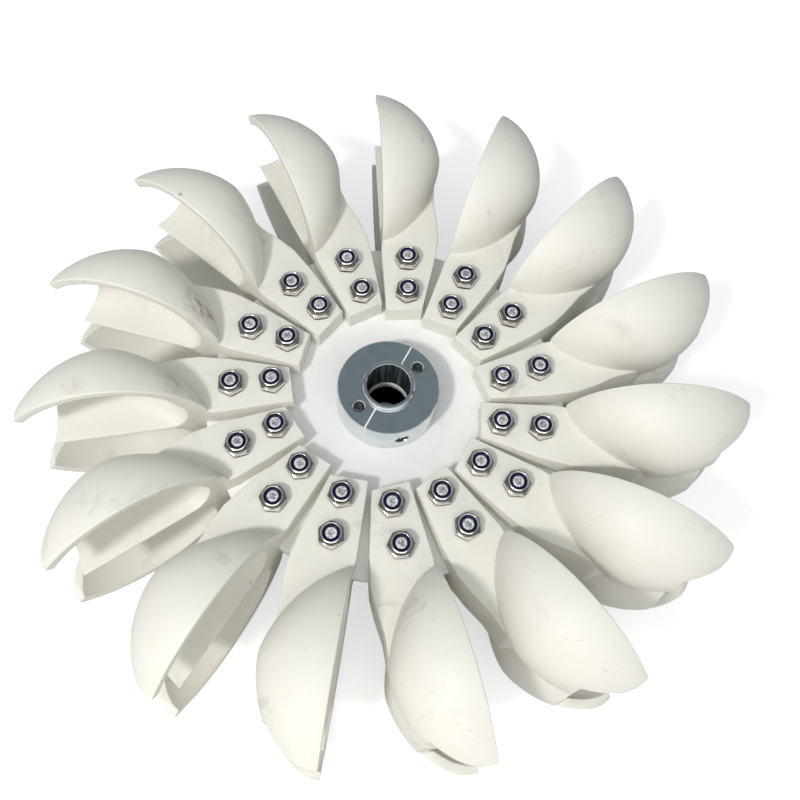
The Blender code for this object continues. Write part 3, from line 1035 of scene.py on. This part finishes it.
def worn_tone(tree, tone):
    """Broken brown scuffs and dark nicks at a few places of the wheel."""
    place = wheel_place(tree)
    broken = spread(tree, speckle(tree, place, 190.0, 6.0, 0.62, 0.5), 0.38, 0.66)
    for centre, reach, amount, colour in WORN_PLACES:
        away = vector_number(tree, "DISTANCE", place, centre)
        share = product(tree, spread(tree, away, 0.2 * reach, reach, amount, 0.0), broken)
        tone = blend(tree, share, tone, colour)
    return tone


def bucket_plastic(colours):
    """Glossy ivory moulding with handling marks."""
    material, tree, shader, tone = moulded_finish(
        "ivory_moulding", colours.ivory, 0.48, 0.00012,
        smudge_amount=0.34, speck_amount=0.75, scuff_amount=0.45, gloss_roughness=0.48)
    lead(tree, shader, base_color=worn_tone(tree, tone))
    return material


def disc_plastic(colours):
    """Smoother, cooler white sheet."""
    return moulded_finish(
        "white_disc", colours.white, 0.42, 0.00005,
        smudge_amount=0.16, speck_amount=0.35, scuff_amount=0.12, gloss_roughness=0.46)[0]


def collar_steel(colours):
    """Faced and turned steel, a little stained, with painted shade down in its pockets and a painted highlight
    along the split.
    """
    material, tree, shader, place, tone = machined_finish(
        "turned_collar", colours.steel, 0.26, 0.000003,
        stain=(0.56, 0.62, 0.66), stain_amount=0.50, ring_pitch=2600.0, gloss_roughness=0.20)
    radius, height = lathe_measures(tree, place)
    # Painted shade on the walls of the screw pockets
    pocket_shade = reckon(tree, "LESS_THAN", reckon(tree, "ABSOLUTE", height), COLLAR_HIGH.z - 0.0006)
    pocket_shade = product(tree, pocket_shade, band(tree, radius, 0.0224, 0.0064))
    tone = blend(tree, reckon(tree, "GREATER_THAN", pocket_shade, 0.01), tone, (0.05, 0.05, 0.055))
    # Painted highlight: the split is painted near-white and not metallic
    off = vector_number(tree, "DOT_PRODUCT", place, SPLIT_BESIDE)
    split = reckon(tree, "LESS_THAN", reckon(tree, "ABSOLUTE", off), 0.00036)
    tone = blend(tree, split, tone, (0.93, 0.94, 0.94))
    lead(tree, shader, base_color=tone, metallic=spread(tree, split, 0.0, 1.0, 1.0, 0.0))
    return material


def sleeve_steel():
    """Bright ground steel, with painted shade down in the bore, darkest low down, streaked with painted
    reflections.
    """
    material, tree, shader, place, tone = machined_finish(
        "bright_sleeve", (0.78, 0.79, 0.80), 0.18, 0.000002,
        stain=(0.55, 0.56, 0.58), stain_amount=0.15, ring_pitch=1800.0, gloss_roughness=0.15)
    radius, height = lathe_measures(tree, place)
    # Painted shade in the bore, near black below the disc's middle, with streaks of painted reflection
    streak = stretched(tree, place, (1.0, 1.0, 0.06))
    streak = spread(tree, speckle(tree, streak, 330.0, 3.0, 0.6), 0.42, 0.68)
    bore_shade = blend(tree, streak, (0.02, 0.03, 0.035), (0.12, 0.14, 0.15))
    bore_shade = blend(tree, spread(tree, height, -0.004, 0.004, 1.0, 0.0), bore_shade, (0.004, 0.004, 0.004))
    inside = reckon(tree, "LESS_THAN", radius, BORE_RADIUS + 0.00008)
    lead(
        tree, shader, base_color=blend(tree, inside, tone, bore_shade),
        roughness=spread(tree, inside, 0.0, 1.0, 0.17, 0.45), metallic=spread(tree, inside, 0.0, 1.0, 1.0, 0.0))
    shader.inputs["Specular IOR Level"].default_value = 0.0
    return material


def screw_steel(name, tone):
    """Dark oiled steel."""
    return machined_finish(
        name, (tone, tone, tone), 0.32, 0.00001,
        stain=(0.10, 0.09, 0.09), stain_amount=0.6, ring_pitch=900.0, gloss_roughness=0.28)[0]


def nut_steel(colours):
    """Bright plated steel with a browner, worn chamfer; painted shade darkens the foot of the hexagon, its chamfer,
    the root of the collar and the collar's shoulder.
    """
    material, tree, shader, place, tone = machined_finish(
        "plated_nut", colours.nut_steel, 0.2, 0.000006, own_place,
        stain=(0.30, 0.26, 0.21), stain_amount=0.45, ring_pitch=700.0, gloss_roughness=0.15)
    radius, height = lathe_measures(tree, place)
    # The slope keeps one value all along the turned-down corners
    slope = reckon(tree, "ADD", height, product(tree, radius, NUT_CHAMFER))
    face = HEXAGON_HIGH + NUT_CHAMFER * 0.5 * NUT_FACE * NUT_WIDTH
    outside = reckon(tree, "GREATER_THAN", radius, 0.00635)
    chamfer = product(tree, spread(tree, slope, face - 0.00020, face - 0.00005), outside)
    wear = spread(tree, speckle(tree, wheel_place(tree), 520.0, 3.0, 0.6, 0.8), 0.40, 0.62, 0.45, 0.98)
    tone = blend(tree, product(tree, chamfer, wear), tone, (0.60, 0.57, 0.52))
    # Painted shade: dark lines at the chamfer, the collar's root and its shoulder, and a painted contact shadow
    # round the foot of the hexagon
    crest = product(tree, band(tree, slope, face - 0.00022, 0.00030), outside)
    root = product(tree, band(tree, radius, 0.00655, 0.00030), reckon(tree, "GREATER_THAN", height, 0.0045))
    shoulder = product(tree, band(tree, radius, 0.00612, 0.00044), reckon(tree, "GREATER_THAN", height, 0.0054))
    painted_shade = spread(tree, height, 0.0013, 0.0024, 1.0, 0.0)
    for share, line in ((0.70, crest), (0.55, root), (0.92, shoulder)):
        painted_shade = reckon(tree, "MAXIMUM", painted_shade, product(tree, line, share))
    lead(tree, shader, base_color=blend(tree, painted_shade, tone, (0.016, 0.014, 0.014)))
    return material


def bolt_steel(colours):
    """Duller plating of the bolts; the sawn thread ends are mottled, with dark bevels and a painted highlight
    towards the rim of each flat.
    """
    material, tree, shader, place, tone = machined_finish(
        "plated_bolt", colours.nut_steel, 0.34, 0.00002, own_place, base=(0.72, 0.71, 0.70),
        stain=(0.30, 0.28, 0.26), stain_amount=0.50, ring_pitch=700.0, gloss_roughness=0.34)
    radius, height = lathe_measures(tree, place)
    end = reckon(tree, "GREATER_THAN", height, 0.0)
    flat = product(tree, end, spread(tree, radius, 0.00305, 0.00318, 1.0, 0.0))
    blotch_and_rim_highlight = speckle(tree, wheel_place(tree), 800.0, 3.0, 0.65, 1.2)
    # Painted highlight: the sawn flat gets lighter towards its rim
    blotch_and_rim_highlight = reckon(tree, "ADD", blotch_and_rim_highlight, spread(tree, radius, 0.0010, 0.0028, -0.04, 0.09))
    sawn = blend(tree, spread(tree, blotch_and_rim_highlight, 0.42, 0.62), (0.22, 0.22, 0.23), (0.86, 0.87, 0.88))
    tone = blend(tree, end, tone, (0.02, 0.02, 0.03))
    lead(
        tree, shader, base_color=blend(tree, flat, tone, sawn),
        metallic=reckon(tree, "SUBTRACT", 1.0, product(tree, flat, 0.75)))
    return material


def ring_plastic(colours):
    """Blue-black nylon ring, a little worn and uneven."""
    material, tree, shader = new_finish("lock_ring_blue", colours.lock_ring, 0.3, 0.0)
    wear = speckle(tree, wheel_place(tree), 700.0, 3.0, 0.6)
    tone = blend(tree, spread(tree, wear, 0.45, 0.75), colours.lock_ring, (0.016, 0.016, 0.075))
    rough = spread(tree, wear, 0.3, 0.8, 0.26, 0.40)
    lead(tree, shader, base_color=tone, roughness=rough, normal=ripple(tree, wear, 0.00004))
    shader.inputs["Specular IOR Level"].default_value = 0.15
    return material


def studio_world():
    """Soft light: bright along the near horizon, dim beyond, dim blue-grey overhead; white to the eye."""
    world = bpy.data.worlds.new("studio")
    world.use_nodes = True
    tree = world.node_tree
    direction = add_node(tree, "TexCoord").outputs["Generated"]
    height = height_of(tree, direction)
    nearer = vector_number(tree, "DOT_PRODUCT", direction, (-0.35, -0.937, 0.0))
    beyond = blend(tree, spread(tree, height, 0.15, 0.42), (0.03, 0.03, 0.035), (0.58, 0.59, 0.60))
    horizon = blend(tree, spread(tree, nearer, -0.75, 0.65), beyond, (0.70, 0.695, 0.68))
    sky = blend(tree, spread(tree, height, 0.30, 0.88), horizon, (0.172, 0.210, 0.228))
    sky = blend(tree, seen_directly(tree), sky, (0.96, 0.965, 0.97))
    lead(tree, tree.nodes["Background"], color=sky)
    return world


def soft_light(name, azimuth, elevation, size, energy, colour):
    """Square area light two metres away, aimed at the wheel's centre."""
    azimuth, elevation = radians(azimuth), radians(elevation)
    across = cos(elevation)
    aim = Vector((cos(azimuth) * across, sin(azimuth) * across, sin(elevation)))
    bpy.ops.object.light_add(type="AREA", location=aim * 2.0)
    light = bpy.context.object
    light.name = name
    light.rotation_euler = aim.to_track_quat("Z", "Y").to_euler()
    light.data.size = size
    light.data.energy = energy
    light.data.color = colour


class RUNNER_OT_stage(bpy.types.Operator):
    """Set the pale floor, the studio lights and the camera"""

    bl_idname = "runner.stage"
    bl_label = "Stage"

    def execute(self, context):
        start_fresh()
        low = min(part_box(name)[0].z for name in BUCKETS)
        bpy.ops.mesh.primitive_plane_add(size=6.0, location=(0.0, 0.0, low - 0.0002))
        floor = name_active("floor")
        material, tree, shader = new_finish("floor_white", (0.70, 0.70, 0.70), 0.9, 0.0)
        shader.inputs["Emission Color"].default_value = (1.0, 1.0, 1.0, 1.0)
        # The floor glows evenly to the eye, except for a painted shadow under the hub where the glow fades out
        away = vector_number(tree, "DISTANCE", wheel_place(tree), (0.0, 0.0, low))
        glow_and_hub_shadow = product(tree, spread(tree, away, 0.02, 0.07, 0.0, 0.55), seen_directly(tree))
        lead(tree, shader, emission_strength=glow_and_hub_shadow)
        floor.data.materials.append(material)
        context.scene.world = studio_world()
        soft_light("key_light", -123.7, 53.0, 0.20, 18.6, (1.0, 0.98, 0.95))
        soft_light("fill_light", -78.0, 66.0, 1.9, 15.8, (1.0, 0.99, 0.97))
        turn = [radians(angle) for angle in (27.991, -3.109, 10.013)]
        bpy.ops.object.camera_add(location=(0.01667, -0.22726, 0.52791), rotation=turn)
        camera = bpy.context.object
        camera.name = "view_from_the_photo"
        camera.data.sensor_width = 36.0
        camera.data.lens = 43.54
        camera.data.shift_x = 0.0051
        camera.data.shift_y = -0.0963
        camera.data.clip_start = 0.01
        context.scene.camera = camera
        context.scene.view_settings.view_transform = "Standard"
        return {"FINISHED"}


class RUNNER_PT_panel(bpy.types.Panel):
    """Sizes, colours and steps of the runner"""

    bl_idname = "RUNNER_PT_panel"
    bl_label = "Pelton runner"
    bl_space_type = "VIEW_3D"
    bl_region_type = "UI"
    bl_category = "Runner"

    def draw(self, context):
        for group in (context.scene.runner_sizes, context.scene.runner_colours):
            for key in group.__annotations__:
                self.layout.prop(group, key)
        for step in STEPS:
            self.layout.operator(step.bl_idname)


STEPS = (RUNNER_OT_buckets, RUNNER_OT_disc, RUNNER_OT_hub, RUNNER_OT_fasteners, RUNNER_OT_stage)
CLASSES = (RunnerSizes, RunnerColours) + STEPS + (RUNNER_PT_panel,)


def register():
    for item in CLASSES:
        bpy.utils.register_class(item)
    bpy.types.Scene.runner_sizes = PointerProperty(type=RunnerSizes)
    bpy.types.Scene.runner_colours = PointerProperty(type=RunnerColours)


def unregister():
    del bpy.types.Scene.runner_colours
    del bpy.types.Scene.runner_sizes
    for item in reversed(CLASSES):
        bpy.utils.unregister_class(item)


def main():
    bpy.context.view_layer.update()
    register()
    bpy.ops.runner.buckets()
    bpy.ops.runner.disc()
    bpy.ops.runner.hub()
    bpy.ops.runner.fasteners()
    bpy.ops.runner.stage()


if __name__ == "__main__":
    main()
